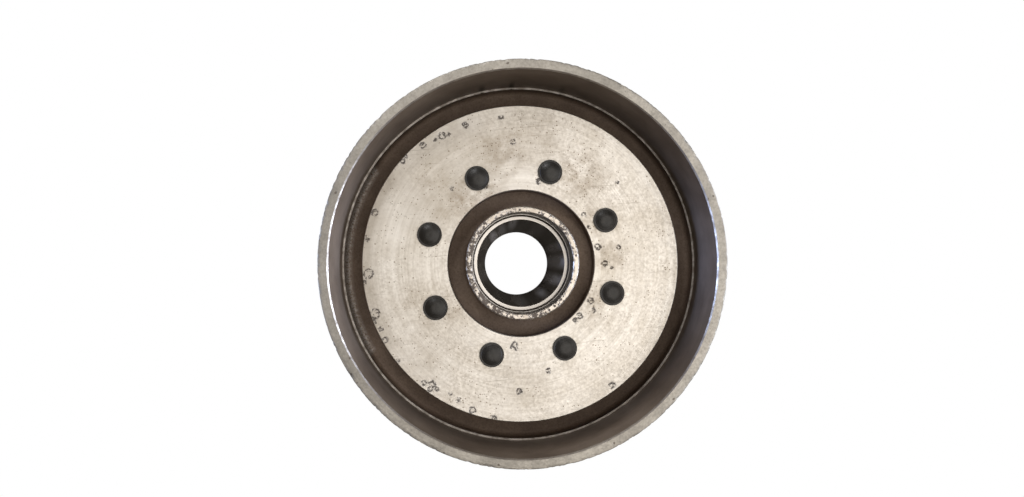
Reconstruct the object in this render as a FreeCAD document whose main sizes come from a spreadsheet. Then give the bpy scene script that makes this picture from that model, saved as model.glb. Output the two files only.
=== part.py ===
import FreeCAD, Part
import math
import os
import Sketcher

# Riveted steel flywheel, in millimetres, with +Z along the crankshaft axis and out of the open side.
# The origin is on the axis, in the plane of the hub's rear face, which is the lowest face.

doc = FreeCAD.newDocument("Flywheel")

# ---------------------------------------------------------------- driving dimensions

SIZES = {
    # cup
    "outer_radius": 62.0,
    "wall_thickness": 3.2,
    "cup_height": 35.0,              # web's back face to rim face
    "rim_outer_chamfer": 0.6,
    "rim_inner_chamfer": 0.5,
    "back_corner_radius": 4.0,
    # web
    "trench_web": 5.0,               # web thickness under the trench
    "trench_width": 6.85,
    "trench_corner_radius": 1.5,
    "ledge_height": 4.2,             # trench floor to the ledge at the foot of the bored wall
    "ledge_chamfer": 0.65,
    "land_web": 17.0,                # web thickness under the land
    "land_edge_chamfer": 0.25,
    # bore, from the crankshaft taper outwards
    "mouth_radius": 15.3,            # outer edge of the flat ring at the mouth of the taper
    "mouth_ring": 0.95,
    "taper_ratio": 5.0,              # length along the axis for each unit of diameter
    "bore_tail_chamfer": 0.6,
    "step_slope": 0.55,              # the cone between the ring and the counterbore's floor
    "step_depth": 0.9,
    "counterbore_ledge": 0.15,
    "counterbore_depth": 9.3,
    "counterbore_chamfer": 0.3,
    # hub, from the counterbore outwards
    "nose_wall": 2.0,
    "nose_stand": 7.0,               # nose above the land
    "nose_chamfer": 0.4,
    "nose_root_radius": 1.2,
    "groove_width": 5.7,             # nose to the edge of the pilot hole
    "groove_depth": 6.0,             # below the land
    "pilot_clearance": 0.05,
    "rivet_inset": 7.3,              # edge of the pilot hole to the rivet circle
    "flange_margin": 8.0,            # rivet circle to the edge of the flange
    "flange_thickness": 6.0,
    "flange_chamfer": 0.8,
    "tail_wall": 7.7,                # at the rear face
    "tail_length": 11.0,
    "tail_chamfer": 0.8,
    "tail_root_radius": 2.0,
    # rivets
    "rivet_count": 8,
    "rivet_first_angle": 22.5,
    "rivet_shank_radius": 2.5,
    "rivet_hole_clearance": 0.1,
    "rivet_head_overlap": 1.5,       # head beyond the shank
    "rivet_head_height": 1.4,
    "rivet_head_edge_radius": 1.0,
    "rivet_tail_overlap": 1.9,
    "rivet_tail_height": 2.4,
    "rivet_tail_edge_radius": 1.9,
}

sheet = doc.addObject("Spreadsheet::Sheet", "Sizes")
for row, (alias, value) in enumerate(SIZES.items(), start=1):
    sheet.set(f"A{row}", alias)
    sheet.set(f"B{row}", str(value))
    sheet.setAlias(f"B{row}", alias)
doc.recompute()


class Bound(float):
    """A number that remembers the sheet expression that it comes from."""

    def __new__(cls, value, text):
        number = super().__new__(cls, value)
        number.text = text
        return number

    def __add__(self, other):
        return Bound(float(self) + float(other), f"({self.text} + {text_of(other)})")

    def __sub__(self, other):
        return Bound(float(self) - float(other), f"({self.text} - {text_of(other)})")

    def __truediv__(self, other):
        return Bound(float(self) / float(other), f"({self.text} / {text_of(other)})")


def text_of(number):
    """The expression of a bound number, or the digits of a plain one."""
    return number.text if isinstance(number, Bound) else str(number)


def size(alias):
    """One cell of the sheet, as a bound number."""
    return Bound(float(sheet.get(alias)), f"Sizes.{alias}")


AXIS = Bound(0.0, "0")

# Heights of the main faces above the origin
flange_back = size("tail_length")
web_back = flange_back + size("flange_thickness")
trench_floor = web_back + size("trench_web")
land_face = web_back + size("land_web")
pilot_face = land_face - size("groove_depth")
nose_face = land_face + size("nose_stand")
rim_face = web_back + size("cup_height")

# Radii that more than one piece shares, from the mouth of the bore outwards
step_radius = size("mouth_radius") + size("step_slope")
counterbore_radius = step_radius + size("counterbore_ledge")
nose_radius = counterbore_radius + size("nose_wall")
pilot_radius = nose_radius + size("groove_width")
rivet_circle_radius = pilot_radius + size("rivet_inset")

# ---------------------------------------------------------------- how a piece is made


def new_body(label):
    """An empty body that names its piece."""
    body = doc.addObject("PartDesign::Body", label)
    body.Label = label
    return body


def new_sketch(body, name, role):
    """A sketch on one of the body's own origin planes."""
    plane = next(item for item in body.Origin.OriginFeatures if item.Role == role)
    sketch = body.newObject("Sketcher::SketchObject", name)
    sketch.AttachmentSupport = [(plane, "")]
    sketch.MapMode = "FlatFace"
    return sketch


def step_towards(corner, other, distance):
    """The point at a distance from a corner, along the level or upright side that leads to another."""
    radius, height = corner[:2]
    if abs(other[0] - radius) > abs(other[1] - height):
        return (radius + distance, height) if other[0] > radius else (radius - distance, height)
    return (radius, height + distance) if other[1] > height else (radius, height - distance)


def outline(corners):
    """The points of an outline in order, each with the rounded corner that starts there, or None."""
    points = []
    for i, corner in enumerate(corners):
        if len(corner) == 2:
            points.append((corner, None))
            continue
        points.append((step_towards(corner, corners[i - 1], corner[2]), corner))
        points.append((step_towards(corner, corners[(i + 1) % len(corners)], corner[2]), None))
    return points


def arc_between(start, end, rounded):
    """The quarter arc that rounds a corner between two points, and whether it runs from start to end.

    A sketch keeps every arc anticlockwise, so a corner that turns clockwise is drawn from its end.
    """
    corner = FreeCAD.Vector(rounded[0], rounded[1], 0)
    centre = start + end - corner
    leave = math.atan2(start.y - centre.y, start.x - centre.x)
    arrive = math.atan2(end.y - centre.y, end.x - centre.x)
    anticlockwise = (arrive - leave) % math.tau < math.pi
    first, last = (leave, arrive) if anticlockwise else (arrive, leave)
    circle = Part.Circle(centre, FreeCAD.Vector(0, 0, 1), float(rounded[2]))
    return Part.ArcOfCircle(circle, first, first + (last - first) % math.tau), anticlockwise


def fix_point(sketch, geometry, end, place):
    """Ties one end of a line or arc to its radius and height in the sheet."""
    for kind, axis, value in (("DistanceX", -2, place[0]), ("DistanceY", -1, place[1])):
        if value == 0:
            sketch.addConstraint(Sketcher.Constraint("PointOnObject", geometry, end, axis))
            continue
        index = sketch.addConstraint(Sketcher.Constraint(kind, -1, 1, geometry, end, float(value)))
        sketch.setExpression(f"Constraints[{index}]", value.text)


def half_section(body, corners):
    """A closed outline of (radius, height) corners; a third value rounds a square corner."""
    sketch = new_sketch(body, "HalfSection", "XZ_Plane")
    points = outline(corners)
    vectors = [FreeCAD.Vector(place[0], place[1], 0) for place, rounded in points]
    ends = []
    for i, (place, rounded) in enumerate(points):
        start = vectors[i]
        end = vectors[(i + 1) % len(vectors)]
        edge, forward = Part.LineSegment(start, end), True
        if rounded:
            edge, forward = arc_between(start, end, rounded)
        sketch.addGeometry(edge, False)
        ends.append((1, 2) if forward else (2, 1))
    for i, (first, last) in enumerate(ends):
        place, rounded = points[i]
        following = (i + 1) % len(ends)
        sketch.addConstraint(Sketcher.Constraint("Coincident", i, last, following, ends[following][0]))
        fix_point(sketch, i, first, place)
        if rounded:
            index = sketch.addConstraint(Sketcher.Constraint("Radius", i, float(rounded[2])))
            sketch.setExpression(f"Constraints[{index}]", rounded[2].text)
    return sketch


def turn(body, corners):
    """The half section, turned once round the axis."""
    sketch = half_section(body, corners)
    turned = body.newObject("PartDesign::Revolution", "Turned")
    turned.Profile = sketch
    turned.ReferenceAxis = (sketch, ["V_Axis"])
    turned.Angle = 360.0
    sketch.Visibility = False
    body.Tip = turned
    doc.recompute()


def rivet_place(index):
    """The expressions for the two coordinates of one rivet's axis."""
    angle = f"(Sizes.rivet_first_angle + {index} * 360 / Sizes.rivet_count) * 1 deg"
    return f"{rivet_circle_radius.text} * cos({angle})", f"{rivet_circle_radius.text} * sin({angle})"


def drill_rivet_holes(body):
    """One rivet hole right through the body, repeated round the rivet circle."""
    sketch = new_sketch(body, "RivetHoleCircle", "XY_Plane")
    hole_radius = size("rivet_shank_radius") + size("rivet_hole_clearance")
    angle = math.radians(size("rivet_first_angle"))
    across = rivet_circle_radius * math.cos(angle)
    along = rivet_circle_radius * math.sin(angle)
    circle = Part.Circle(FreeCAD.Vector(across, along, 0), FreeCAD.Vector(0, 0, 1), hole_radius)
    sketch.addGeometry(circle, False)
    radius_at = sketch.addConstraint(Sketcher.Constraint("Radius", 0, float(hole_radius)))
    across_at = sketch.addConstraint(Sketcher.Constraint("DistanceX", -1, 1, 0, 3, across))
    along_at = sketch.addConstraint(Sketcher.Constraint("DistanceY", -1, 1, 0, 3, along))
    across_text, along_text = rivet_place(0)
    sketch.setExpression(f"Constraints[{radius_at}]", hole_radius.text)
    sketch.setExpression(f"Constraints[{across_at}]", across_text)
    sketch.setExpression(f"Constraints[{along_at}]", along_text)
    solid_before = body.Shape.Volume
    hole = body.newObject("PartDesign::Pocket", "RivetHole")
    hole.Profile = sketch
    hole.Type = "ThroughAll"
    hole.Reversed = True
    sketch.Visibility = False
    body.Tip = hole
    doc.recompute()
    if not body.Shape.Volume < solid_before:
        raise RuntimeError(f"{body.Label}: the rivet hole cut nothing")
    holes = body.newObject("PartDesign::PolarPattern", "RivetHoles")
    holes.Originals = [hole]
    holes.Axis = (sketch, ["N_Axis"])
    holes.Angle = 360.0
    holes.setExpression("Occurrences", "Sizes.rivet_count")
    body.Tip = holes
    doc.recompute()


# ---------------------------------------------------------------- flywheel body


def make_flywheel_body():
    """Forged cup, turned all over: rim, bored wall, trench, raised land and pilot hole."""
    body = new_body("flywheel_body")
    outer = size("outer_radius")
    bored = outer - size("wall_thickness")
    rim_outer = size("rim_outer_chamfer")
    rim_inner = size("rim_inner_chamfer")
    ledge = trench_floor + size("ledge_height")
    ledge_chamfer = size("ledge_chamfer")
    trench_wall = bored - ledge_chamfer
    corner = size("trench_corner_radius")
    land = trench_wall - size("trench_width")
    edge = size("land_edge_chamfer")
    turn(body, [
        (pilot_radius, web_back),
        (outer, web_back, size("back_corner_radius")),
        (outer, rim_face - rim_outer),
        (outer - rim_outer, rim_face),
        (bored + rim_inner, rim_face),
        (bored, rim_face - rim_inner),
        (bored, ledge),
        (trench_wall, ledge - ledge_chamfer),
        (trench_wall, trench_floor, corner),
        (land, trench_floor, corner),
        (land, land_face - edge),
        (land - edge, land_face),
        (pilot_radius + edge, land_face),
        (pilot_radius, land_face - edge),
    ])
    drill_rivet_holes(body)
    return body


# ---------------------------------------------------------------- hub


def make_hub():
    """Turned hub: nose, pilot, riveted rear flange, tail, counterbore and ground taper bore."""
    body = new_body("hub")
    nose_chamfer = size("nose_chamfer")
    pilot = pilot_radius - size("pilot_clearance")
    flange = rivet_circle_radius + size("flange_margin")
    flange_chamfer = size("flange_chamfer")
    tail_chamfer = size("tail_chamfer")
    counterbore_chamfer = size("counterbore_chamfer")
    counterbore_floor = nose_face - size("counterbore_depth")
    step_floor = counterbore_floor - size("step_depth")
    taper_top = size("mouth_radius") - size("mouth_ring")
    taper_end = taper_top - step_floor / size("taper_ratio") / 2
    bore_chamfer = size("bore_tail_chamfer")
    bore_tail = taper_end + bore_chamfer / size("taper_ratio") / 2
    tail = taper_end + size("tail_wall")
    turn(body, [
        (bore_tail + bore_chamfer, AXIS),
        (tail - tail_chamfer, AXIS),
        (tail, tail_chamfer),
        (tail, flange_back, size("tail_root_radius")),
        (flange - flange_chamfer, flange_back),
        (flange, flange_back + flange_chamfer),
        (flange, web_back),
        (pilot, web_back),
        (pilot, pilot_face),
        (nose_radius, pilot_face, size("nose_root_radius")),
        (nose_radius, nose_face - nose_chamfer),
        (nose_radius - nose_chamfer, nose_face),
        (counterbore_radius + counterbore_chamfer, nose_face),
        (counterbore_radius, nose_face - counterbore_chamfer),
        (counterbore_radius, counterbore_floor),
        (step_radius, counterbore_floor),
        (size("mouth_radius"), step_floor),
        (taper_top, step_floor),
        (bore_tail, bore_chamfer),
    ])
    drill_rivet_holes(body)
    return body


# ---------------------------------------------------------------- rivets


def make_rivet(index):
    """Solid rivet: pan head on the land, shank through web and flange, rounded tail on the flange."""
    body = new_body(f"rivet_{index + 1}")
    shank = size("rivet_shank_radius")
    head = shank + size("rivet_head_overlap")
    tail = shank + size("rivet_tail_overlap")
    turn(body, [
        (AXIS, flange_back - size("rivet_tail_height")),
        (tail, flange_back - size("rivet_tail_height"), size("rivet_tail_edge_radius")),
        (tail, flange_back),
        (shank, flange_back),
        (shank, land_face),
        (head, land_face),
        (head, land_face + size("rivet_head_height"), size("rivet_head_edge_radius")),
        (AXIS, land_face + size("rivet_head_height")),
    ])
    across, along = rivet_place(index)
    body.setExpression("Placement.Base.x", across)
    body.setExpression("Placement.Base.y", along)
    return body


# ---------------------------------------------------------------- build, check and write

pieces = [make_flywheel_body(), make_hub()]
for rivet_index in range(SIZES["rivet_count"]):
    pieces.append(make_rivet(rivet_index))

doc.recompute()
for item in doc.Objects:
    if "Invalid" in item.State or "Error" in item.State:
        raise RuntimeError(f"{item.Label} failed: {item.State}")
for piece in pieces:
    if piece.Shape.isNull() or not piece.Shape.isValid():
        raise RuntimeError(f"{piece.Label} has no valid shape")
    if len(piece.Shape.Solids) != 1:
        raise RuntimeError(f"{piece.Label} is not one solid")

os.makedirs("parts", exist_ok=True)
for piece in pieces:
    piece.Shape.exportStep(f"parts/{piece.Label}.step")
    print(f"{piece.Label}: {piece.Shape.Volume / 1000:.2f} cm3")
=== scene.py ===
import math

import bpy
import numpy as np
from mathutils import Matrix, Vector


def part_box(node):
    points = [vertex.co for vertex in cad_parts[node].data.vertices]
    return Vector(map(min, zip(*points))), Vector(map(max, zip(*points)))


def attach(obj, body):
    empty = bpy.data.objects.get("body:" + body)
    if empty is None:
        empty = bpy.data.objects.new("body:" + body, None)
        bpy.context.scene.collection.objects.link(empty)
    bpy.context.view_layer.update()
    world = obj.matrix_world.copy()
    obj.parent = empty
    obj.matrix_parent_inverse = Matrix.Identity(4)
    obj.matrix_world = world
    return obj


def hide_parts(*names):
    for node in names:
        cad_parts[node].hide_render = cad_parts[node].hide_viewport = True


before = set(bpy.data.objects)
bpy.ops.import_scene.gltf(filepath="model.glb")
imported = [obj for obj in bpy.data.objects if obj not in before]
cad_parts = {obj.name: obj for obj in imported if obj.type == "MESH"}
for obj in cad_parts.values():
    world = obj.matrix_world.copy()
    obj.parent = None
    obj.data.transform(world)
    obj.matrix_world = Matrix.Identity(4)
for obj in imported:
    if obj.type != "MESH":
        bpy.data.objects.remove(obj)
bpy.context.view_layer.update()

scene = bpy.context.scene
scene.view_settings.view_transform = "Standard"
mm = 0.001


# ------------------------------------------------------------------ camera
# A hand-held camera about 240 mm above the rim, a little to the left of the wheel's axis and
# tilted slightly back towards it. The wheel is turned a few degrees against the view.

cup_low, cup_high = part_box("flywheel_body")
wheel_turn = math.radians(4.8)
view = Matrix.Rotation(-wheel_turn, 4, "Z")             # the view's right and up, on the wheel
camera_right = -15.34 * mm
camera_up = -0.69 * mm
camera_height = cup_high.z + 240 * mm
look_right = 0.04755
look_up = 0.02098

lens = bpy.data.cameras.new("camera")
lens.sensor_width = 36.0
lens.lens = 28.05
lens.clip_start = 10 * mm
camera = bpy.data.objects.new("camera", lens)
scene.collection.objects.link(camera)
scene.camera = camera
eye = Matrix.Translation((camera_right, camera_up, camera_height))
tilt = Matrix.Rotation(-look_right, 4, "Y") @ Matrix.Rotation(look_up, 4, "X")
camera.matrix_world = view @ eye @ tilt


# ------------------------------------------------------------------ light and floor
# A white sheet under the wheel, one wide warm lamp overhead towards the right, and cool windows
# low down on both sides. The room is dim, so the walls of the cup and of the bore stay dark.


def linear(hex_colour):
    """An sRGB hex colour as linear RGBA."""
    channels = [int(hex_colour[i:i + 2], 16) / 255 for i in (1, 3, 5)]
    return [c / 12.92 if c <= 0.04045 else ((c + 0.055) / 1.055) ** 2.4 for c in channels] + [1.0]


def add(tree, kind, inputs, **settings):
    """One node with its settings. Each input is a value, or the node or socket that feeds it."""
    node = tree.nodes.new(kind)
    for name, value in settings.items():
        setattr(node, name, value)
    live = [socket for socket in node.inputs if socket.enabled]
    for key, value in inputs.items():
        socket = live[key] if isinstance(key, int) else next(s for s in live if s.name == key)
        if isinstance(value, bpy.types.Node):
            value = next(s for s in value.outputs if s.enabled)
        if isinstance(value, bpy.types.NodeSocket):
            tree.links.new(value, socket)
        else:
            socket.default_value = value
    return node


def lamp(name, place, size, power, colour):
    """A soft rectangular lamp aimed at the wheel. Its place is the view's right, up and out, in m."""
    light = bpy.data.lights.new(name, "AREA")
    light.shape = "RECTANGLE"
    light.size, light.size_y = size
    light.energy = power
    light.color = linear(colour)[:3]
    holder = bpy.data.objects.new(name, light)
    scene.collection.objects.link(holder)
    away = Vector(place) - Vector((0, 0, cup_high.z))
    aim = away.to_track_quat("Z", "Y").to_matrix().to_4x4()
    holder.matrix_world = view @ Matrix.Translation(place) @ aim


lamp("ceiling_lamp", (0.27, -0.08, 0.95), (0.85, 0.85), 5.1, "#FFFCF8")
lamp("right_window", (0.75, 0.02, 0.30), (0.60, 0.30), 7.2, "#D6E1F8")
lamp("left_window", (-0.75, 0.0, 0.30), (0.34, 0.30), 3.7, "#AFC6F8")
lamp("upper_lamp", (-0.20, 0.50, 0.62), (0.16, 0.12), 1.7, "#F2F4F8")


def show_white(tree, felt, glow, output):
    """Completes a tree that the camera sees as pure white, while all other light meets felt."""
    seen = add(tree, glow, {"Color": linear("#FFFFFF"), "Strength": 1.0})
    eye_ray = add(tree, "ShaderNodeLightPath", {}).outputs["Is Camera Ray"]
    both = add(tree, "ShaderNodeMixShader", {0: eye_ray, 1: felt, 2: seen})
    add(tree, output, {"Surface": both})


world = bpy.data.worlds.new("room")
scene.world = world
world.use_nodes = True
room = world.node_tree
room.nodes.clear()
dim = add(room, "ShaderNodeBackground", {"Color": linear("#B9AFA3"), "Strength": 0.55})
show_white(room, dim, "ShaderNodeBackground", "ShaderNodeOutputWorld")

white_paper = bpy.data.materials.new("white_paper")
white_paper.use_nodes = True
paper = white_paper.node_tree
paper.nodes.clear()
matt = add(paper, "ShaderNodeBsdfDiffuse", {"Color": linear("#9A958E")})
show_white(paper, matt, "ShaderNodeEmission", "ShaderNodeOutputMaterial")
sheet_mesh = bpy.data.meshes.new("paper_sheet")
reach = 2.5
sheet_corners = [(-reach, -reach, 0), (reach, -reach, 0), (reach, reach, 0), (-reach, reach, 0)]
sheet_mesh.from_pydata(sheet_corners, [], [(0, 1, 2, 3)])
sheet_mesh.materials.append(white_paper)
paper_sheet = bpy.data.objects.new("paper_sheet", sheet_mesh)
scene.collection.objects.link(paper_sheet)


# ------------------------------------------------------------------ cup, land and trench
# The flywheel body is one steel forging, turned all over. Its web is faced to a bright land, the
# inside of its wall is bored and ground, and the trench at the foot of the wall is left brown.


class Section:
    """Half of a turned piece's outline, with the finish of each side and the wear at each point."""

    def __init__(self, radius, height):
        self.points = [(radius, height)]
        self.finishes = []
        self.wear = [0.0]

    def line(self, radius, height, finish, spacing=2.5 * mm, wear=0.0):
        """A straight side, cut into equal lengths of about the spacing; wear is at its far end."""
        start = np.array(self.points[-1])
        end = np.array((radius, height))
        count = max(1, round(float(np.linalg.norm(end - start)) / spacing))
        for step in range(1, count + 1):
            self.points.append(tuple(start + (end - start) * step / count))
            self.finishes.append(finish)
            self.wear.append(wear if step == count else 0.0)

    def arc(self, centre, radius, first, last, finish, count=6, wear=0.0):
        """A round side from the first angle to the last, in degrees; wear is along it."""
        for angle in np.radians(np.linspace(first, last, count + 1))[1:]:
            across = centre[0] + radius * math.cos(angle)
            self.points.append((across, centre[1] + radius * math.sin(angle)))
            self.finishes.append(finish)
            self.wear.append(wear)

    def close(self, finish, spacing):
        """The last side, back to the first point."""
        self.line(*self.points[0], finish, spacing)
        self.points.pop()
        self.wear.pop()


def lathe_tree():
    """Turns a section round the Z axis and knocks small dents into the points that show wear.
    The swept faces look inwards, so a push along their normals sinks a dent."""
    tree = bpy.data.node_groups.new("lathe", "GeometryNodeTree")
    for label, kind in (("Section", "Geometry"), ("Steps", "Int"), ("Datum radius", "Float"),
                        ("Dent width", "Float"), ("Dent depth", "Float"), ("Seed", "Float"),
                        ("Finish", "Material")):
        tree.interface.new_socket(label, in_out="INPUT", socket_type="NodeSocket" + kind)
    tree.interface.new_socket("Piece", in_out="OUTPUT", socket_type="NodeSocketGeometry")
    given = add(tree, "NodeGroupInput", {}).outputs
    outline = add(tree, "GeometryNodeMeshToCurve", {"Mesh": given["Section"]})
    circle = add(tree, "GeometryNodeCurvePrimitiveCircle",
                 {"Resolution": given["Steps"], "Radius": given["Datum radius"]})
    turned = add(tree, "GeometryNodeCurveToMesh", {"Curve": circle, "Profile Curve": outline})
    scale = add(tree, "ShaderNodeMath", {0: 1.0, 1: given["Dent width"]}, operation="DIVIDE")
    noise = add(tree, "ShaderNodeTexNoise", {"W": given["Seed"], "Scale": scale, "Detail": 3.0,
                                             "Roughness": 0.6}, noise_dimensions="4D")
    dent = add(tree, "ShaderNodeMapRange", {"Value": noise, "From Min": 0.5, "From Max": 0.75})
    wear = add(tree, "GeometryNodeInputNamedAttribute", {"Name": "wear"}, data_type="FLOAT")
    worn = add(tree, "ShaderNodeMath", {0: dent, 1: wear}, operation="MULTIPLY")
    depth = add(tree, "ShaderNodeMath", {0: worn, 1: given["Dent depth"]}, operation="MULTIPLY")
    normal = add(tree, "GeometryNodeInputNormal", {})
    push = add(tree, "ShaderNodeVectorMath", {"Vector": normal, "Scale": depth}, operation="SCALE")
    dented = add(tree, "GeometryNodeSetPosition", {"Geometry": turned, "Offset": push})
    real = add(tree, "GeometryNodeRealizeInstances", {"Geometry": dented})
    finished = add(tree, "GeometryNodeSetMaterial", {"Geometry": real, "Material": given["Finish"]})
    add(tree, "NodeGroupOutput", {"Piece": finished})
    return tree


lathe = lathe_tree()
datum = 10 * mm         # the circle that a section is swept along


def grow(name, source_mesh, tree, **inputs):
    """A plain mesh object from a Geometry Nodes tree, with the tree's inputs set by name."""
    source = bpy.data.objects.new(name + "_source", source_mesh)
    scene.collection.objects.link(source)
    modifier = source.modifiers.new(name, "NODES")
    modifier.node_group = tree
    sockets = {item.name: item.identifier for item in tree.interface.items_tree if item.in_out == "INPUT"}
    for label, value in inputs.items():
        modifier[sockets[label.replace("_", " ")]] = value
    shape = source.evaluated_get(bpy.context.evaluated_depsgraph_get())
    mesh = bpy.data.meshes.new_from_object(shape)
    bpy.data.objects.remove(source)
    mesh.name = name
    piece = bpy.data.objects.new(name, mesh)
    scene.collection.objects.link(piece)
    return piece


def section_mesh(name, section, closed):
    """A section as a chain of edges: across is the radius past the datum circle, down is the height."""
    count = len(section.points)
    mesh = bpy.data.meshes.new(name)
    mesh.from_pydata([(radius - datum, -height, 0) for radius, height in section.points],
                     [(i, (i + 1) % count) for i in range(count if closed else count - 1)], [])
    mesh.attributes.new("point_index", "INT", "POINT").data.foreach_set("value", list(range(count)))
    mesh.attributes.new("wear", "FLOAT", "POINT").data.foreach_set("value", section.wear)
    return mesh


corner_angle = math.radians(28)


def smooth_between_edges(mesh):
    """Faces outwards, shading smooth except across corners, and no working attributes left."""
    corners = np.array([v.co for v in mesh.vertices])
    volume = 0.0
    for polygon in mesh.polygons:
        first, *others = [corners[v] for v in polygon.vertices]
        for second, third in zip(others, others[1:]):
            volume += np.dot(first, np.cross(second, third))
    if volume < 0:
        mesh.flip_normals()
    mesh.polygons.foreach_set("use_smooth", [True] * len(mesh.polygons))
    mesh.set_sharp_from_angle(angle=corner_angle)
    for name in ("point_index", "wear"):
        mesh.attributes.remove(mesh.attributes[name])


def turn_piece(name, section, finishes, steps, dent_width, dent_depth, seed):
    """A closed section turned into a piece, with each side's own finish."""
    piece = grow(name, section_mesh(name + "_section", section, closed=True), lathe, Steps=steps,
                 Datum_radius=datum, Dent_width=dent_width, Dent_depth=dent_depth, Seed=seed,
                 Finish=next(iter(finishes.values())))
    mesh = piece.data
    indices = np.empty(len(mesh.vertices), int)
    mesh.attributes["point_index"].data.foreach_get("value", indices)
    corners = np.empty(len(mesh.loops), int)
    mesh.loops.foreach_get("vertex_index", corners)
    corners = indices[corners].reshape(-1, 4)
    sides = np.where(np.ptp(corners, axis=1) > 1, corners.max(axis=1), corners.min(axis=1))
    mesh.materials.clear()
    for material in finishes.values():
        mesh.materials.append(material)
    names = list(finishes)
    mesh.polygons.foreach_set("material_index", [names.index(section.finishes[s]) for s in sides])
    smooth_between_edges(mesh)
    return piece


def start_finish(name):
    """An empty finish: its material, its node tree, and the coordinates that its patterns follow."""
    material = bpy.data.materials.new(name)
    material.use_nodes = True
    tree = material.node_tree
    tree.nodes.clear()
    return material, tree, add(tree, "ShaderNodeTexCoord", {}).outputs["Object"]


def finish_metal(material, colour, roughness, relief, strength, depth, metallic=1.0, **more):
    """The metal itself. Each input is a value or the node that makes it; depth is the relief's."""
    tree = material.node_tree
    bump = add(tree, "ShaderNodeBump", {"Strength": strength, "Distance": depth, "Height": relief})
    shader = add(tree, "ShaderNodeBsdfPrincipled", {"Base Color": colour, "Metallic": metallic,
                                                    "Roughness": roughness, "Normal": bump, **more})
    add(tree, "ShaderNodeOutputMaterial", {"Surface": shader})
    return material


def painted(tree, name):
    """The amount stored under a name at the piece's points."""
    return add(tree, "ShaderNodeAttribute", {}, attribute_name=name).outputs["Fac"]


def height_at(tree, place):
    """The height, which is what a turned wall's tool marks run across."""
    return add(tree, "ShaderNodeSeparateXYZ", {"Vector": place}).outputs["Z"]


def from_axis(tree, place, measure):
    """The radius, as LENGTH, or the unit direction away from the axis, as NORMALIZE."""
    flat = add(tree, "ShaderNodeVectorMath", {0: place, 1: (1, 1, 0)}, operation="MULTIPLY")
    return add(tree, "ShaderNodeVectorMath", {0: flat}, operation=measure)


streak_radius = 40 * mm


def streaks(tree, place, along, length, pitch, seed, roughness=0.5):
    """Marks that run round the piece: about length long at the streak radius, and pitch apart."""
    turn = add(tree, "ShaderNodeVectorMath", {"Vector": from_axis(tree, place, "NORMALIZE"),
                                              "Scale": streak_radius / length}, operation="SCALE")
    lift = add(tree, "ShaderNodeMath", {0: along, 1: 1 / pitch}, operation="MULTIPLY")
    offset = add(tree, "ShaderNodeCombineXYZ", {"Z": lift})
    where = add(tree, "ShaderNodeVectorMath", {0: turn, 1: offset}, operation="ADD")
    return add(tree, "ShaderNodeTexNoise", {"Vector": where, "W": seed, "Scale": 1.0, "Detail": 2.0,
                                            "Roughness": roughness}, noise_dimensions="4D")


def mottle(tree, place, size, seed, detail=4.0, roughness=0.6):
    """Cloudy variation of about the given size."""
    return add(tree, "ShaderNodeTexNoise", {"Vector": place, "W": seed, "Scale": 1 / size, "Detail": detail,
                                            "Roughness": roughness}, noise_dimensions="4D")


def ramp(tree, value, low, high, to_low=0.0, to_high=1.0):
    """A value taken from one range to another, and held at its ends."""
    return add(tree, "ShaderNodeMapRange", {"Value": value, "From Min": low, "From Max": high,
                                            "To Min": to_low, "To Max": to_high})


def blend(tree, factor, first, second, most=1.0):
    """A colour from first towards second, each a hex value or a node, at most that share of the way."""
    pair = [linear(c) if isinstance(c, str) else c for c in (first, second)]
    share = add(tree, "ShaderNodeMath", {0: factor, 1: most}, operation="MULTIPLY")
    return add(tree, "ShaderNodeMix", {"Factor": share, "A": pair[0], "B": pair[1]}, data_type="RGBA")


def pits(tree, place, spacing, share, widest, seed):
    """Small corrosion pits: one to a cell, in only that share of the cells; 1 inside a pit."""
    narrowest = 0.35 * widest
    lump = 0.35 * spacing
    shift = (seed * 0.137, seed * 0.071, 0)
    moved = add(tree, "ShaderNodeVectorMath", {0: place, 1: shift}, operation="ADD")
    cells = add(tree, "ShaderNodeTexVoronoi", {"Vector": moved, "Scale": 1 / spacing, "Randomness": 1.0})
    dice = add(tree, "ShaderNodeSeparateColor", {"Color": cells.outputs["Color"]})
    chosen = add(tree, "ShaderNodeMath", {0: dice.outputs[0], 1: share}, operation="LESS_THAN")
    size = ramp(tree, dice.outputs[1], 0.0, 1.0, narrowest, widest)
    noise = mottle(tree, place, lump, seed, detail=2.0)
    ragged = add(tree, "ShaderNodeMath", {0: noise, 1: 0.5}, operation="SUBTRACT")
    edge = add(tree, "ShaderNodeMath", {0: ragged, 1: 0.5, 2: cells.outputs["Distance"]},
               operation="MULTIPLY_ADD")
    inside = add(tree, "ShaderNodeMath", {0: size, 1: edge}, operation="SUBTRACT")
    return add(tree, "ShaderNodeMath", {0: ramp(tree, inside, -0.03, 0.06), 1: chosen}, operation="MULTIPLY")


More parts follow.
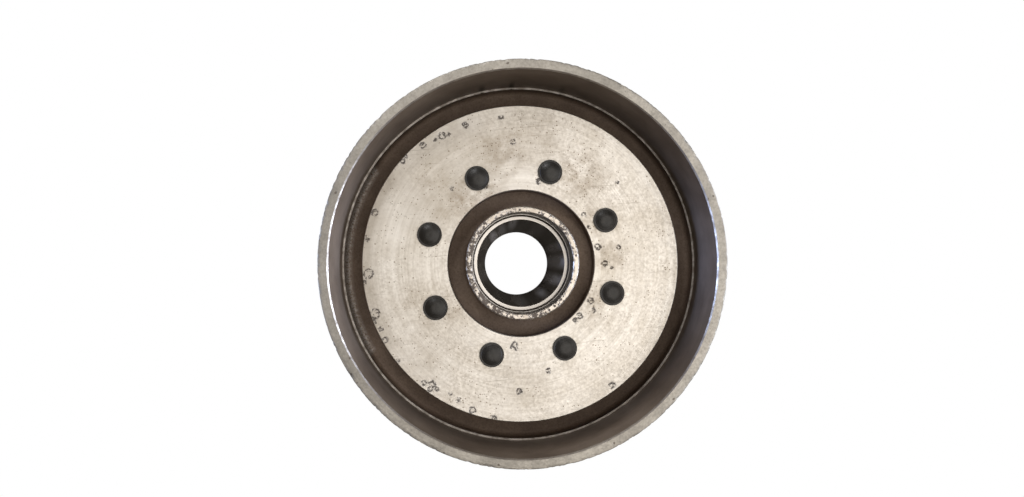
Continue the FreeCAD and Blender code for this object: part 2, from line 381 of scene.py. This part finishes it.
def dried_drops(tree, place, seed):
    """Rust that drops of water left: a broken ring at each drop's outline, and specks inside it.
    The outline is stored in mm, so the ranges that it's held against are in mm too."""
    stray = 1.6
    noise = mottle(tree, place, 0.8 * mm, seed, detail=3.0)
    ragged = add(tree, "ShaderNodeMath", {0: noise, 1: 0.5}, operation="SUBTRACT")
    off_line = add(tree, "ShaderNodeMath", {0: ragged, 1: stray, 2: painted(tree, "drop")},
                   operation="MULTIPLY_ADD")
    line = ramp(tree, add(tree, "ShaderNodeMath", {0: off_line}, operation="ABSOLUTE"), 0.42, 0.14)
    broken = ramp(tree, mottle(tree, place, 1.0 * mm, seed + 3, detail=3.0), 0.43, 0.53)
    ring = add(tree, "ShaderNodeMath", {0: line, 1: broken}, operation="MULTIPLY")
    inside = ramp(tree, off_line, 0.3, -0.1)
    specks = ramp(tree, mottle(tree, place, 0.6 * mm, seed + 5, detail=2.0), 0.53, 0.58)
    middle = add(tree, "ShaderNodeMath", {0: inside, 1: specks}, operation="MULTIPLY")
    return add(tree, "ShaderNodeMath", {0: ring, 1: middle}, operation="MAXIMUM")


def faced_steel():
    """Faced forging steel: bright, with fine rings from the tool, brown stains and rust marks.
    The broad soft sheen comes from the tool marks; the brown is old oil and light rust."""
    material, tree, place = start_finish("faced_forging_steel")
    radius = from_axis(tree, place, "LENGTH")
    stain = painted(tree, "stain")
    cloud = mottle(tree, place, 10 * mm, seed=1.0)
    grain = mottle(tree, place, 0.9 * mm, seed=2.0, detail=3.0, roughness=0.75)
    tool = streaks(tree, place, radius, 26 * mm, 0.45 * mm, seed=3.0)
    swirl = streaks(tree, place, radius, 55 * mm, 2.4 * mm, seed=10.0)
    worn = ramp(tree, mottle(tree, place, 16 * mm, seed=9.0, detail=3.0), 0.35, 0.65, 0.1, 0.55)
    coarse = add(tree, "ShaderNodeMath", {0: ramp(tree, grain, 0.42, 0.72), 1: worn}, operation="MULTIPLY")
    blotch = ramp(tree, mottle(tree, place, 3.5 * mm, seed=4.0), 0.38, 0.64)
    patchy = add(tree, "ShaderNodeMath", {0: blotch, 1: stain}, operation="MULTIPLY")
    colour = blend(tree, ramp(tree, cloud, 0.3, 0.7), "#C8C1B6", "#DFDAD2")
    colour = blend(tree, coarse, colour, "#9C9181")
    colour = blend(tree, ramp(tree, tool, 0.42, 0.7), colour, "#958A79", most=0.22)
    colour = blend(tree, ramp(tree, swirl, 0.54, 0.7), colour, "#F1EDE6", most=0.3)
    colour = blend(tree, patchy, colour, "#8D7A5E", most=0.85)
    # painted shade: greys the land where the stored amount says, mostly along its left edge
    colour = blend(tree, painted(tree, "painted_shade"), colour, "#93897A", most=0.6)
    scratch_length = 22 * mm
    scratch_pitch = 0.6 * mm
    for heading, seed in ((0.6, 14.0), (1.9, 15.0), (2.7, 16.0)):
        turned = add(tree, "ShaderNodeMapping", {"Vector": place, "Rotation": (0, 0, heading),
                                                 "Scale": (1 / scratch_length, 1 / scratch_pitch, 1.0)})
        scratch = add(tree, "ShaderNodeTexNoise", {"Vector": turned, "W": seed, "Scale": 1.0, "Detail": 1.0},
                      noise_dimensions="4D")
        colour = blend(tree, ramp(tree, scratch, 0.68, 0.76), colour, "#7E7364", most=0.4)
    dusty = ramp(tree, mottle(tree, place, 6 * mm, seed=5.0, detail=3.0), 0.5, 0.68, 0.02, 0.7)
    dust = add(tree, "ShaderNodeMath", {0: dusty, 1: stain}, operation="MAXIMUM")
    specks = pits(tree, place, spacing=0.7 * mm, share=dust, widest=0.36, seed=6.0)
    marks = dried_drops(tree, place, seed=7.0)
    colour = blend(tree, specks, colour, "#66553F", most=0.7)
    colour = blend(tree, marks, colour, "#382C20", most=0.85)
    oily = ramp(tree, patchy, 0.0, 1.0, 0.0, 0.3)
    dull = add(tree, "ShaderNodeMath", {0: marks, 1: oily}, operation="MAXIMUM")
    rough = ramp(tree, grain, 0.3, 0.7, 0.42, 0.56)
    rough = add(tree, "ShaderNodeMath", {0: dull, 1: 0.3, 2: rough}, operation="MULTIPLY_ADD")
    relief = add(tree, "ShaderNodeMath", {0: tool, 1: 0.35, 2: grain}, operation="MULTIPLY_ADD")
    relief = add(tree, "ShaderNodeMath", {0: marks, 1: -2.5, 2: relief}, operation="MULTIPLY_ADD")
    return finish_metal(material, colour, rough, relief, strength=0.45, depth=0.04 * mm,
                        metallic=ramp(tree, dull, 0.0, 1.0, 1.0, 0.15))


def turned_rim_steel():
    """Turned steel that has been handled: grey, with tool rings, small nicks and a dull bloom."""
    material, tree, place = start_finish("turned_rim_steel")
    cloud = mottle(tree, place, 7 * mm, seed=11.0, detail=3.0)
    grain = mottle(tree, place, 0.7 * mm, seed=12.0, detail=3.0, roughness=0.7)
    specks = pits(tree, place, spacing=1.6 * mm, share=0.07, widest=0.3, seed=13.0)
    colour = blend(tree, ramp(tree, cloud, 0.3, 0.7), "#8E8980", "#AEA89D")
    colour = blend(tree, ramp(tree, grain, 0.4, 0.75), colour, "#6E675C", most=0.4)
    colour = blend(tree, specks, colour, "#554B3F", most=0.7)
    radius = from_axis(tree, place, "LENGTH")
    along = add(tree, "ShaderNodeMath", {0: radius, 1: height_at(tree, place)}, operation="ADD")
    tool = streaks(tree, place, along, 70 * mm, 0.4 * mm, seed=14.0)
    relief = add(tree, "ShaderNodeMath", {0: specks, 1: -2.0, 2: grain}, operation="MULTIPLY_ADD")
    relief = add(tree, "ShaderNodeMath", {0: tool, 1: 2.0, 2: relief}, operation="MULTIPLY_ADD")
    return finish_metal(material, colour, ramp(tree, grain, 0.3, 0.7, 0.45, 0.6), relief,
                        strength=0.5, depth=0.04 * mm)


def ground_bore_steel(foot):
    """Bored and ground steel, thinly oiled: smooth along the wheel, finely scored
    round it, so that it draws each light into a tall soft streak. Dark runs stand on the foot."""
    material, tree, place = start_finish("ground_bore_steel")
    height = height_at(tree, place)
    score = streaks(tree, place, height, 60 * mm, 0.25 * mm, seed=21.0)
    cloud = mottle(tree, place, 12 * mm, seed=22.0, detail=3.0)
    low_down = ramp(tree, height, foot + 4 * mm, foot + 11 * mm, 0.8, 0.0)
    runs = add(tree, "ShaderNodeMath", {0: painted(tree, "stain"), 1: low_down}, operation="MULTIPLY")
    colour = blend(tree, ramp(tree, cloud, 0.3, 0.7), "#6B5F55", "#867A6F")
    colour = blend(tree, ramp(tree, score, 0.4, 0.7), colour, "#554A40", most=0.25)
    colour = blend(tree, runs, colour, "#2B221B")
    tangent = add(tree, "ShaderNodeTangent", {}, direction_type="RADIAL", axis="Z")
    scoring = {"Anisotropic": 0.75, "Anisotropic Rotation": 0.25, "Tangent": tangent}
    return finish_metal(material, colour, 0.5, score, strength=0.15, depth=0.01 * mm, **scoring)


def cut_edge_steel(name, dark, light, roughness):
    """A narrow edge that the tool left bright, dulled and dinged in handling."""
    material, tree, place = start_finish(name)
    cloud = mottle(tree, place, 2.2 * mm, seed=31.0)
    colour = blend(tree, ramp(tree, cloud, 0.38, 0.62), dark, light)
    colour = blend(tree, painted(tree, "rust"), colour, "#3A3027")
    rough = ramp(tree, cloud, 0.35, 0.65, roughness + 0.08, roughness - 0.08)
    return finish_metal(material, colour, rough, cloud, strength=0.4, depth=0.03 * mm)


def bright_ring_steel():
    """A seat that its mating part keeps clean: bright, finely turned, almost unmarked."""
    material, tree, place = start_finish("clean_seat_steel")
    cloud = mottle(tree, place, 3 * mm, seed=33.0)
    colour = blend(tree, ramp(tree, cloud, 0.35, 0.65), "#CBC5BD", "#E0DBD4")
    tool = streaks(tree, place, from_axis(tree, place, "LENGTH"), 30 * mm, 0.2 * mm, seed=34.0)
    return finish_metal(material, colour, ramp(tree, cloud, 0.35, 0.65, 0.36, 0.44), tool,
                        strength=0.2, depth=0.02 * mm)


def brown_oxide():
    """Turned steel under an even brown oxide skin and oil: dark, matt, with faint tool rings.
    Grey metal grains show where the stored amount says: a painted highlight where the trench corner catches
    the window light."""
    material, tree, place = start_finish("brown_oxide_skin")
    cloud = mottle(tree, place, 6 * mm, seed=41.0)
    grain = mottle(tree, place, 0.6 * mm, seed=42.0, detail=3.0, roughness=0.7)
    coarse = ramp(tree, grain, 0.38, 0.6)
    # painted highlight: grey metal grains put only where the trench corner catches the light
    glint_grains = add(tree, "ShaderNodeMath", {0: coarse, 1: painted(tree, "corner_glint")}, operation="MULTIPLY")
    colour = blend(tree, ramp(tree, cloud, 0.3, 0.7), "#605043", "#736253")
    colour = blend(tree, ramp(tree, grain, 0.45, 0.75), colour, "#3D3128", most=0.5)
    colour = blend(tree, glint_grains, colour, "#BDB6AF")
    rough = ramp(tree, grain, 0.3, 0.7, 0.6, 0.75)
    rough = add(tree, "ShaderNodeMath", {0: glint_grains, 1: -0.15, 2: rough}, operation="MULTIPLY_ADD")
    tool = streaks(tree, place, from_axis(tree, place, "LENGTH"), 50 * mm, 0.3 * mm, seed=43.0)
    relief = add(tree, "ShaderNodeMath", {0: tool, 1: 0.5, 2: grain}, operation="MULTIPLY_ADD")
    return finish_metal(material, colour, rough, relief, strength=0.4, depth=0.05 * mm,
                        metallic=ramp(tree, glint_grains, 0.0, 1.0, 0.25, 0.95))


wall = 3.2 * mm
rim_outer_round = 0.3 * mm
rim_inner_chamfer = 0.4 * mm
back_corner = 4.0 * mm
trench_web = 5.0 * mm
trench_width = 6.85 * mm
trench_corner = 1.5 * mm
ledge_height = 4.2 * mm
ledge_step = 0.65 * mm
ledge_chamfer = 0.08 * mm
land_web = 17.0 * mm
edge_break = 0.25 * mm
fine_band = 4.0 * mm
pilot_radius = 23.7 * mm

outer = cup_high.x
rim = cup_high.z
back = cup_low.z
bored = outer - wall
trench_wall = bored - ledge_step
trench_floor = back + trench_web
ledge = trench_floor + ledge_height
land_edge = trench_wall - trench_width
land = back + land_web

# Each side's number is the spacing of its rings of faces: fine where marks or dents have to show.
cup_section = Section(pilot_radius, back)
cup_section.line(outer - back_corner, back, "rim", 3 * mm)
cup_section.arc((outer - back_corner, back + back_corner), back_corner, -90, 0, "rim", 8)
cup_section.line(outer, rim - rim_outer_round, "rim", 2.5 * mm, wear=1.0)
cup_section.arc((outer - rim_outer_round, rim - rim_outer_round), rim_outer_round, 0, 90, "rim", 3, wear=1.0)
cup_section.line(bored + rim_inner_chamfer, rim, "rim", 0.35 * mm)
cup_section.line(bored, rim - rim_inner_chamfer, "edge", 0.5 * mm)
cup_section.line(bored, ledge, "bore", 2.5 * mm)
cup_section.line(trench_wall + ledge_chamfer, ledge, "ledge", 0.3 * mm)
cup_section.line(trench_wall, ledge - ledge_chamfer, "ledge", 0.45 * mm)
cup_section.line(trench_wall, trench_floor + trench_corner, "oxide", 0.6 * mm)
cup_section.arc((trench_wall - trench_corner, trench_floor + trench_corner), trench_corner, 0, -90, "oxide")
cup_section.line(land_edge + trench_corner, trench_floor, "oxide", 1.0 * mm)
cup_section.arc((land_edge + trench_corner, trench_floor + trench_corner), trench_corner, -90, -180, "oxide")
cup_section.line(land_edge, land - edge_break, "oxide", 2.0 * mm)
cup_section.line(land_edge - edge_break, land, "land", 0.2 * mm)
cup_section.line(land_edge - fine_band, land, "land", 0.45 * mm)
cup_section.line(pilot_radius + edge_break, land, "land", 0.9 * mm)
cup_section.line(pilot_radius, land - edge_break, "land", 0.2 * mm)
cup_section.close("oxide", 4 * mm)

cup = turn_piece("cup", cup_section,
                 {"rim": turned_rim_steel(), "bore": ground_bore_steel(ledge),
                  "edge": cut_edge_steel("bright_cut_edge", "#8F877E", "#BDB6AD", roughness=0.4),
                  "ledge": cut_edge_steel("dull_cut_edge", "#8E877F", "#C6C0B9", roughness=0.46),
                  "oxide": brown_oxide(), "land": faced_steel()},
                 steps=720, dent_width=1.2 * mm, dent_depth=0.38 * mm, seed=4.0)


def plan_points(piece):
    """Where a piece's points are in plan, in mm."""
    points = np.empty(len(piece.data.vertices) * 3)
    piece.data.vertices.foreach_get("co", points)
    return points.reshape(-1, 3)[:, :2] / mm


def distances(points, angle, radius):
    """How many mm each point is from a place at that angle in the view and that radius in mm."""
    heading = math.radians(angle) - wheel_turn
    centre = radius * np.array((math.cos(heading), math.sin(heading)))
    return np.linalg.norm(points - centre, axis=1)


def store(piece, name, values):
    """Keeps a value for each of a piece's points, for painted() to read."""
    piece.data.attributes.new(name, "FLOAT", "POINT").data.foreach_set("value", values)


spot_edge = 1.6         # how fast a spot fades: it is full inside three eighths of its size


def patches(piece, name, spots):
    """Stores an amount from round spots, each an angle, a radius, a size in mm and a strength."""
    points = plan_points(piece)
    amount = np.zeros(len(points))
    for angle, radius, size, strength in spots:
        away = distances(points, angle, radius) / size
        amount = np.maximum(amount, strength * np.clip(spot_edge - spot_edge * away, 0, 1))
    store(piece, name, amount)


far_off = 9.0           # mm, for points that no drop is near


def outlines(piece, name, drops):
    """Stores how many mm a point is outside the nearest drop, each an angle, a radius and a size."""
    points = plan_points(piece)
    nearest = np.full(len(points), far_off)
    for angle, radius, size in drops:
        nearest = np.minimum(nearest, distances(points, angle, radius) - size)
    store(piece, name, nearest)


# Angles are in the view, in degrees anticlockwise from its right. Radii and sizes are in mm.
# Stains are brown on the land and stand dark on the wall's foot; rust is where the ledge is dinged.
patches(cup, "stain", [
    (126, 26, 12, 0.75), (102, 36, 12, 0.5), (56, 34, 12, 0.55), (140, 34, 14, 0.35), (205, 36, 9, 0.3),
    (30, 30, 9, 0.4), (5, 30, 8, 0.4), (-30, 27, 9, 0.45), (212, 27, 8, 0.35), (80, 43, 9, 0.25),
    (-140, 44, 12, 0.2), (102.6, 58.8, 1.4, 0.9), (92.9, 58.8, 1.1, 1.0), (76.6, 58.8, 1.0, 0.6),
])
patches(cup, "rust", [(102.6, 58.1, 0.65, 1.0), (92.9, 58.1, 0.65, 1.0), (76.6, 58.1, 0.6, 0.8)])

# Drops dried mostly along the land's edge and round the hub.
outlines(cup, "drop", [
    (161, 50.0, 1.0), (171, 50.4, 0.8), (184, 49.3, 1.5), (187, 50.8, 0.5), (199, 49.7, 1.5),
    (201.5, 50.8, 0.6), (205, 49.9, 0.6), (209.3, 50.3, 0.8), (218.5, 50.7, 0.5), (231, 49.6, 0.8),
    (233.5, 48.4, 0.9), (234, 50.0, 0.7), (236, 48.8, 0.5), (241.4, 47.8, 0.4), (245.2, 48.6, 0.6),
    (251.5, 49.9, 0.9), (260, 50.9, 0.8), (265, 26.4, 0.9), (266.5, 27.8, 0.4), (263, 27.3, 0.4),
    (269, 41.4, 0.8), (284, 36.0, 0.7), (306.5, 49.4, 0.9), (130, 49.6, 0.9), (125, 48.8, 0.3),
    (122, 48.7, 1.0), (119.5, 48.0, 0.4), (112, 48.4, 0.9), (98, 47.9, 0.6), (94, 39.5, 0.7),
    (139.5, 50.6, 0.7), (137.5, 50.9, 0.5), (78, 27.2, 0.8), (75.5, 28.2, 0.5), (115, 27.6, 0.7),
    (38, 25.6, 0.6), (28, 25.0, 0.4), (12, 25.5, 0.9), (9.3, 32.1, 0.6), (0, 27.2, 0.8), (-3, 29.5, 0.4),
    (-28.5, 25.6, 0.9), (-33, 28.0, 0.6), (-42, 25.6, 0.8), (-46.5, 25.4, 0.7), (133, 33.0, 0.5),
    (40, 41.0, 0.4),
])

# The land is greyed along its left edge and over broad patches: painted shade. At the foot of the
# trench wall beside that edge, grey metal grains stand in for the light the corner catches: a painted
# highlight.
land_rim = 51.5
ledge_line = 58.1
patches(cup, "painted_shade", [
    *[(angle, land_rim, 6, 0.75) for angle in range(150, 212, 3)],
    (88, 40, 18, 0.42), (118, 38, 21, 0.55), (148, 38, 15, 0.4), (268, 38, 13, 0.35), (228, 40, 14, 0.25),
])
# painted highlight along the left trench corner
patches(cup, "corner_glint", [(angle, ledge_line, 2.0, 1.0) for angle in range(148, 212, 2)])
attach(cup, "root")
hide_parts("flywheel_body")


# ------------------------------------------------------------------ hub
# The hub is turned from steel bar. It carries the taper for the crankshaft, its flange lies
# against the back of the web, and its nose stands up through the middle of the cup.


def pitted_nose_steel():
    """A turned face that has stood damp: bright metal left between merging rust pits."""
    material, tree, place = start_finish("pitted_nose_steel")
    rusty = painted(tree, "rust")
    cloud = mottle(tree, place, 2.5 * mm, seed=51.0)
    eaten = mottle(tree, place, 1.1 * mm, seed=52.0, roughness=0.65)
    line = ramp(tree, rusty, 0.0, 1.0, 0.72, 0.45)
    over = add(tree, "ShaderNodeMath", {0: eaten, 1: line}, operation="SUBTRACT")
    holes = pits(tree, place, spacing=1.2 * mm, share=rusty, widest=0.4, seed=53.0)
    rust = add(tree, "ShaderNodeMath", {0: ramp(tree, over, 0.0, 0.05), 1: holes}, operation="MAXIMUM")
    colour = blend(tree, ramp(tree, cloud, 0.3, 0.7), "#ACA295", "#CFC7BC")
    colour = blend(tree, rust, colour, "#4A3D30", most=0.9)
    sunk = add(tree, "ShaderNodeMath", {0: rust, 1: -1.0}, operation="MULTIPLY")
    return finish_metal(material, colour, ramp(tree, rust, 0.0, 1.0, 0.4, 0.7), sunk, strength=0.6,
                        depth=0.08 * mm, metallic=ramp(tree, rust, 0.0, 1.0, 1.0, 0.2))


def oiled_recess_steel():
    """The side of the counterbore: turned, then darkened by oil that has dried on it."""
    material, tree, place = start_finish("oil_darkened_steel")
    cloud = mottle(tree, place, 3 * mm, seed=56.0)
    colour = blend(tree, ramp(tree, cloud, 0.35, 0.65), "#3C352E", "#574E45")
    score = streaks(tree, place, height_at(tree, place), 30 * mm, 0.3 * mm, seed=57.0)
    return finish_metal(material, colour, ramp(tree, cloud, 0.35, 0.65, 0.4, 0.55), score,
                        strength=0.3, depth=0.03 * mm, metallic=0.7)


def lapped_taper_steel():
    """The ground and lapped taper: dark and glossy, with painted reflections in soft lighter streaks."""
    material, tree, place = start_finish("lapped_taper_steel")
    height = height_at(tree, place)
    sheen = painted(tree, "sheen")
    reflection_bands = streaks(tree, place, height, 12.5 * mm, 26 * mm, seed=60.0, roughness=0.45)
    score = streaks(tree, place, height, 20 * mm, 0.3 * mm, seed=61.0)
    # painted reflection: lighter streaks and sheen spots stand in for light reflected in the taper
    colour = blend(tree, ramp(tree, reflection_bands, 0.46, 0.66), "#2C2621", "#7C7674", most=0.6)
    colour = blend(tree, sheen, colour, "#DCDCE4")
    return finish_metal(material, colour, ramp(tree, reflection_bands, 0.4, 0.66, 0.26, 0.42), score,
                        strength=0.2, depth=0.01 * mm, metallic=ramp(tree, sheen, 0.0, 0.6, 1.0, 0.2))


mouth_radius = 15.3 * mm
mouth_ring = 0.95 * mm
taper_ratio = 5.0
bore_tail_chamfer = 0.6 * mm
step_slope = 0.55 * mm
step_depth = 0.9 * mm
counterbore_ledge = 0.15 * mm
counterbore_depth = 9.3 * mm
counterbore_chamfer = 0.3 * mm
nose_wall = 2.0 * mm
nose_chamfer = 0.4 * mm
nose_root = 1.2 * mm
groove_depth = 6.0 * mm
flange_back = 11.0 * mm
flange_chamfer = 0.8 * mm
tail_wall = 7.7 * mm
tail_chamfer = 0.8 * mm
tail_root = 2.0 * mm

hub_low, hub_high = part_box("hub")
tail_back = hub_low.z
nose_face = hub_high.z
flange = hub_high.x
counterbore_floor = nose_face - counterbore_depth
mouth_ring_height = counterbore_floor - step_depth
mouth = mouth_radius - mouth_ring
bore_end = mouth - (mouth_ring_height - tail_back) / (2 * taper_ratio)
counterbore = mouth_radius + step_slope + counterbore_ledge
nose = counterbore + nose_wall
pilot_face = land - groove_depth
tail = bore_end + tail_wall
lead = bore_tail_chamfer

hub_section = Section(bore_end + lead, tail_back)
hub_section.line(tail - tail_chamfer, tail_back, "turned", 2 * mm)
hub_section.line(tail, tail_back + tail_chamfer, "turned", 0.5 * mm)
hub_section.line(tail, flange_back - tail_root, "turned", 2 * mm)
hub_section.arc((tail + tail_root, flange_back - tail_root), tail_root, 180, 90, "turned")
hub_section.line(flange - flange_chamfer, flange_back, "turned", 3 * mm)
hub_section.line(flange, flange_back + flange_chamfer, "turned", 0.5 * mm)
hub_section.line(flange, back, "turned", 2.5 * mm)
hub_section.line(pilot_radius, back, "turned", 4 * mm)
hub_section.line(pilot_radius, pilot_face, "oxide", 3 * mm)
hub_section.line(nose + nose_root, pilot_face, "oxide", 0.8 * mm)
hub_section.arc((nose + nose_root, pilot_face + nose_root), nose_root, -90, -180, "oxide")
hub_section.line(nose, nose_face - nose_chamfer, "oxide", 2 * mm, wear=0.5)
hub_section.line(nose - nose_chamfer, nose_face, "nose", 0.2 * mm, wear=0.5)
hub_section.line(counterbore + counterbore_chamfer, nose_face, "nose", 0.3 * mm, wear=1.0)
hub_section.line(counterbore, nose_face - counterbore_chamfer, "nose", 0.2 * mm, wear=0.7)
hub_section.line(counterbore, counterbore_floor, "counterbore", 1.5 * mm)
hub_section.line(counterbore - counterbore_ledge, counterbore_floor, "seat", 0.15 * mm)
hub_section.line(mouth_radius, mouth_ring_height, "counterbore", 0.5 * mm)
hub_section.line(mouth, mouth_ring_height, "seat", 0.4 * mm)
hub_section.line(bore_end + lead / (2 * taper_ratio), tail_back + lead, "taper", 2 * mm)
hub_section.close("edge", 0.3 * mm)

hub = turn_piece("hub", hub_section,
                 {"turned": turned_rim_steel(), "oxide": cup.data.materials["brown_oxide_skin"],
                  "nose": pitted_nose_steel(), "counterbore": oiled_recess_steel(),
                  "seat": bright_ring_steel(), "edge": cup.data.materials["bright_cut_edge"],
                  "taper": lapped_taper_steel()},
                 steps=480, dent_width=0.9 * mm, dent_depth=0.4 * mm, seed=9.0)

# The nose has rusted most at the left and below. The sheen is a painted reflection: soft light
# on the taper's oil, put into its colour.
patches(hub, "rust", [
    (180, 17, 10, 1.0), (215, 17, 10, 1.0), (245, 17, 10, 1.0), (150, 17, 9, 0.95), (270, 17, 8, 0.9),
    (262, 17, 4, 1.2), (278, 17, 4, 1.2), (90, 17, 6, 0.6), (112, 17, 7, 0.75), (60, 16.4, 5, 0.7),
    (40, 16.4, 5, 0.8), (15, 16.2, 4, 0.6), (-45, 16.2, 6, 0.7), (-20, 16.2, 4, 0.5), (-70, 16.6, 6, 0.7),
])
patches(hub, "sheen", [
    (133, 12.4, 2.2, 0.9), (100, 13.6, 2.0, 0.5), (117, 12.6, 2.4, 0.4), (2, 12.9, 3.2, 0.6),
    (-24, 12.8, 2.8, 0.55), (24, 13.4, 2.2, 0.4), (-52, 12.4, 2.2, 0.45), (-88, 12.6, 3.0, 0.2),
    (62, 12.8, 3.0, 0.15), (200, 12.6, 3.0, 0.2),
])
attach(hub, "root")
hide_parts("hub")


# ------------------------------------------------------------------ rivets
# Eight steel rivets on one circle clamp the hub's flange to the web. Their heads are low and
# rounded with a soft dimple from the set, and they are blackened by heat and oil.


def black_rivet_steel():
    """Heat-blackened steel: almost black with a green cast, satin, faintly dimpled."""
    material, tree, place = start_finish("heat_blackened_steel")
    cloud = mottle(tree, place, 2 * mm, seed=71.0)
    grain = mottle(tree, place, 0.35 * mm, seed=72.0, detail=3.0, roughness=0.7)
    colour = blend(tree, ramp(tree, cloud, 0.3, 0.7), "#171512", "#26231F")
    colour = blend(tree, ramp(tree, grain, 0.5, 0.75), colour, "#3A352E", most=0.35)
    relief = add(tree, "ShaderNodeMath", {0: cloud, 1: 2.0, 2: grain}, operation="MULTIPLY_ADD")
    return finish_metal(material, colour, ramp(tree, grain, 0.3, 0.7, 0.3, 0.42), relief,
                        strength=0.35, depth=0.05 * mm, metallic=0.4)


rivet_low, rivet_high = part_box("rivet_1")
rivet_middle = (rivet_low + rivet_high) / 2
circle_radius = math.hypot(rivet_middle.x, rivet_middle.y)
first_angle = math.atan2(rivet_middle.y, rivet_middle.x)
rivet_count = sum(name.startswith("rivet_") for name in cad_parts)
shank = 2.5 * mm
head_overlap = 1.5 * mm
head_edge = 1.0 * mm
head_crown = 0.55 * mm
dimple_depth = 0.12 * mm
dimple_radius = 1.1 * mm
clench_overlap = 1.9 * mm
clench_edge = 1.9 * mm

head = shank + head_overlap
clench = shank + clench_overlap
top_radius = head - head_edge
top_rings = 8
rivet_section = Section(0.0, rivet_high.z - dimple_depth)
for ring in range(1, top_rings + 1):
    along = top_radius * ring / top_rings
    dimple = dimple_depth * math.exp(-(along / dimple_radius) ** 2)
    crown = head_crown * (along / top_radius) ** 2
    rivet_section.line(along, rivet_high.z - dimple - crown, "rivet")
shoulder = head_edge - head_crown
rivet_section.arc((top_radius, rivet_high.z - head_edge), shoulder, 90, 45, "rivet", 3)
rivet_section.arc((top_radius, rivet_high.z - head_edge), head_edge, 30, 0, "rivet", 3)
rivet_section.line(head, land, "rivet", 0.2 * mm)
rivet_section.line(shank, land, "rivet")
rivet_section.line(shank, flange_back, "rivet", 4 * mm)
rivet_section.line(clench, flange_back, "rivet")
rivet_section.line(clench, rivet_low.z + clench_edge, "rivet")
rivet_section.arc((clench - clench_edge, rivet_low.z + clench_edge), clench_edge, 0, -90, "rivet", 8)
rivet_section.line(0.0, rivet_low.z, "rivet", 0.8 * mm)


def riveting_tree():
    """One rivet, turned by the lathe without dents, set at each point of a circle. Each one leans
    and is rolled a little differently."""
    tree = bpy.data.node_groups.new("riveting", "GeometryNodeTree")
    for label, kind in (("Section", "Geometry"), ("Steps", "Int"), ("Datum radius", "Float"),
                        ("Count", "Int"), ("Circle radius", "Float"), ("First angle", "Float"),
                        ("Lean", "Float"), ("Seed", "Int"), ("Finish", "Material")):
        tree.interface.new_socket(label, in_out="INPUT", socket_type="NodeSocket" + kind)
    tree.interface.new_socket("Piece", in_out="OUTPUT", socket_type="NodeSocketGeometry")
    given = add(tree, "NodeGroupInput", {}).outputs
    one = add(tree, "GeometryNodeGroup", {}, node_tree=lathe)
    for label in ("Section", "Steps", "Datum radius", "Finish"):
        tree.links.new(given[label], one.inputs[label])
    weld = 0.001 * mm
    whole = add(tree, "GeometryNodeMergeByDistance", {"Geometry": one, "Distance": weld})
    ring = add(tree, "GeometryNodeMeshCircle", {"Vertices": given["Count"], "Radius": given["Circle radius"]})
    heading = add(tree, "ShaderNodeCombineXYZ", {"Z": given["First angle"]})
    turned = add(tree, "GeometryNodeTransform", {"Geometry": ring, "Rotation": heading})
    least = add(tree, "ShaderNodeMath", {0: given["Lean"], 1: -1.0}, operation="MULTIPLY")
    lean = add(tree, "FunctionNodeRandomValue", {"Min": least, "Max": given["Lean"], "Seed": given["Seed"]},
               data_type="FLOAT")
    roll = add(tree, "FunctionNodeRandomValue", {"Min": 0.0, "Max": 2 * math.pi, "Seed": given["Seed"]},
               data_type="FLOAT")
    pose = add(tree, "ShaderNodeCombineXYZ", {"X": lean, "Z": roll})
    rivets = add(tree, "GeometryNodeInstanceOnPoints",
                 {"Points": turned, "Instance": whole, "Rotation": pose})
    real = add(tree, "GeometryNodeRealizeInstances", {"Geometry": rivets})
    finished = add(tree, "GeometryNodeSetMaterial", {"Geometry": real, "Material": given["Finish"]})
    add(tree, "NodeGroupOutput", {"Piece": finished})
    return tree


rivets = grow("rivets", section_mesh("rivet_section", rivet_section, closed=False), riveting_tree(),
              Steps=64, Datum_radius=datum, Count=rivet_count, Circle_radius=circle_radius,
              First_angle=first_angle, Lean=math.radians(0.6), Seed=3, Finish=black_rivet_steel())
smooth_between_edges(rivets.data)
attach(rivets, "root")
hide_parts(*[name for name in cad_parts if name.startswith("rivet_")])
